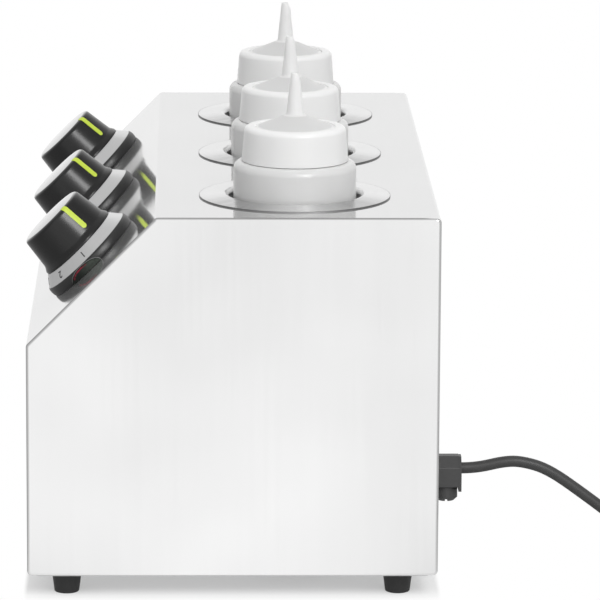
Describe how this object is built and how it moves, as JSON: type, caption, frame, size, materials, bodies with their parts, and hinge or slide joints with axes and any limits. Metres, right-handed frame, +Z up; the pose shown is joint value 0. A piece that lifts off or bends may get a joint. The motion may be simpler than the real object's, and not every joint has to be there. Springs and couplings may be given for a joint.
{
  "type": "sauce warmer",
  "caption": "Countertop sauce warmer: squeeze bottles stand in flanged heated wells in a polished steel casing with a sloped control panel of turning dials.",
  "frame": {"origin": "on the surface the feet stand on, under the middle of the casing", "axes": "+X along the row of wells towards the end with the cord grip, +Y from the control panel to the back, +Z up"},
  "size_m": [0.48, 0.6207, 0.3198],
  "materials": {
    "polished_steel": "polished",
    "end_panel_steel": "polished",
    "well_steel": "satin",
    "zinc_steel": "zinc plated",
    "rubber_black": "moulded",
    "black_plastic": "satin moulded",
    "lime_plastic": "satin moulded",
    "silver_ring": "satin with printed numbers",
    "smoked_lens": "smoked translucent",
    "white_bottle": "translucent white",
    "band_steel": "plain",
    "brass": "plain",
    "copper": "plain",
    "white_ceramic": "plain",
    "lamp_red": "translucent",
    "cord_black": "smooth sheath",
    "grip_black": "moulded",
    "nickel": "plated"
  },
  "bodies": {
    "housing": {"casing_wrapper": "polished_steel", "end_panel_right": "end_panel_steel", "end_panel_left": "end_panel_steel", "base_plate": "zinc_steel", "foot_front_left": "rubber_black", "foot_front_right": "rubber_black", "foot_back_left": "rubber_black", "foot_back_right": "rubber_black", "foot_fasteners": "zinc_steel", "base_screws": "zinc_steel", "band_screws": "zinc_steel", "thermal_cutouts": "white_ceramic", "thermostat_screws": "zinc_steel", "pilot_lamps": "lamp_red", "well_liner_1": "well_steel", "heater_band_1": "band_steel", "thermostat_1": "zinc_steel", "thermostat_bulb_1": "copper", "dial_base_1": "black_plastic", "scale_ring_1": "silver_ring", "lamp_lens_1": "smoked_lens", "well_liner_2": "well_steel", "heater_band_2": "band_steel", "thermostat_2": "zinc_steel", "thermostat_bulb_2": "copper", "dial_base_2": "black_plastic", "scale_ring_2": "silver_ring", "lamp_lens_2": "smoked_lens", "well_liner_3": "well_steel", "heater_band_3": "band_steel", "thermostat_3": "zinc_steel", "thermostat_bulb_3": "copper", "dial_base_3": "black_plastic", "scale_ring_3": "silver_ring", "lamp_lens_3": "smoked_lens", "cord_grip_body": "grip_black", "cord_grip_cover": "grip_black", "cord_grip_plunger": "grip_black", "terminal_block": "white_ceramic", "earth_stud": "brass", "supply_cord": "cord_black", "cord_coil": "cord_black", "plug_body": "grip_black", "plug_pins": "nickel"},
    "knob_1": {"control_knob_1": "black_plastic", "knob_pointer_1": "lime_plastic", "thermostat_shaft_1": "zinc_steel"},
    "bottle_body_1": {"bottle_1": "white_bottle"},
    "cap_body_1": {"bottle_cap_1": "white_bottle"},
    "knob_2": {"control_knob_2": "black_plastic", "knob_pointer_2": "lime_plastic", "thermostat_shaft_2": "zinc_steel"},
    "bottle_body_2": {"bottle_2": "white_bottle"},
    "cap_body_2": {"bottle_cap_2": "white_bottle"},
    "knob_3": {"control_knob_3": "black_plastic", "knob_pointer_3": "lime_plastic", "thermostat_shaft_3": "zinc_steel"},
    "bottle_body_3": {"bottle_3": "white_bottle"},
    "cap_body_3": {"bottle_cap_3": "white_bottle"}
  },
  "joints": [
    {"name": "knob_1_turn", "type": "hinge", "parent": "housing", "child": "knob_1", "pos_m": [-0.1445, -0.0875, 0.202], "axis": [0, 0.7071, -0.7071], "range_deg": [0, 257]},
    {"name": "bottle_1_lift", "type": "slide", "parent": "housing", "child": "bottle_body_1", "axis": [0, 0, 1], "range_m": [0, 0.25]},
    {"name": "cap_1_lift", "type": "slide", "parent": "bottle_body_1", "child": "cap_body_1", "axis": [0, 0, 1], "range_m": [0, 0.06]},
    {"name": "knob_2_turn", "type": "hinge", "parent": "housing", "child": "knob_2", "pos_m": [0.009, -0.0875, 0.202], "axis": [0, 0.7071, -0.7071], "range_deg": [-5, 252]},
    {"name": "bottle_2_lift", "type": "slide", "parent": "housing", "child": "bottle_body_2", "axis": [0, 0, 1], "range_m": [0, 0.25]},
    {"name": "cap_2_lift", "type": "slide", "parent": "bottle_body_2", "child": "cap_body_2", "axis": [0, 0, 1], "range_m": [0, 0.06]},
    {"name": "knob_3_turn", "type": "hinge", "parent": "housing", "child": "knob_3", "pos_m": [0.1625, -0.0875, 0.202], "axis": [0, 0.7071, -0.7071], "range_deg": [-21, 236]},
    {"name": "bottle_3_lift", "type": "slide", "parent": "housing", "child": "bottle_body_3", "axis": [0, 0, 1], "range_m": [0, 0.25]},
    {"name": "cap_3_lift", "type": "slide", "parent": "bottle_body_3", "child": "cap_body_3", "axis": [0, 0, 1], "range_m": [0, 0.06]}
  ]
}
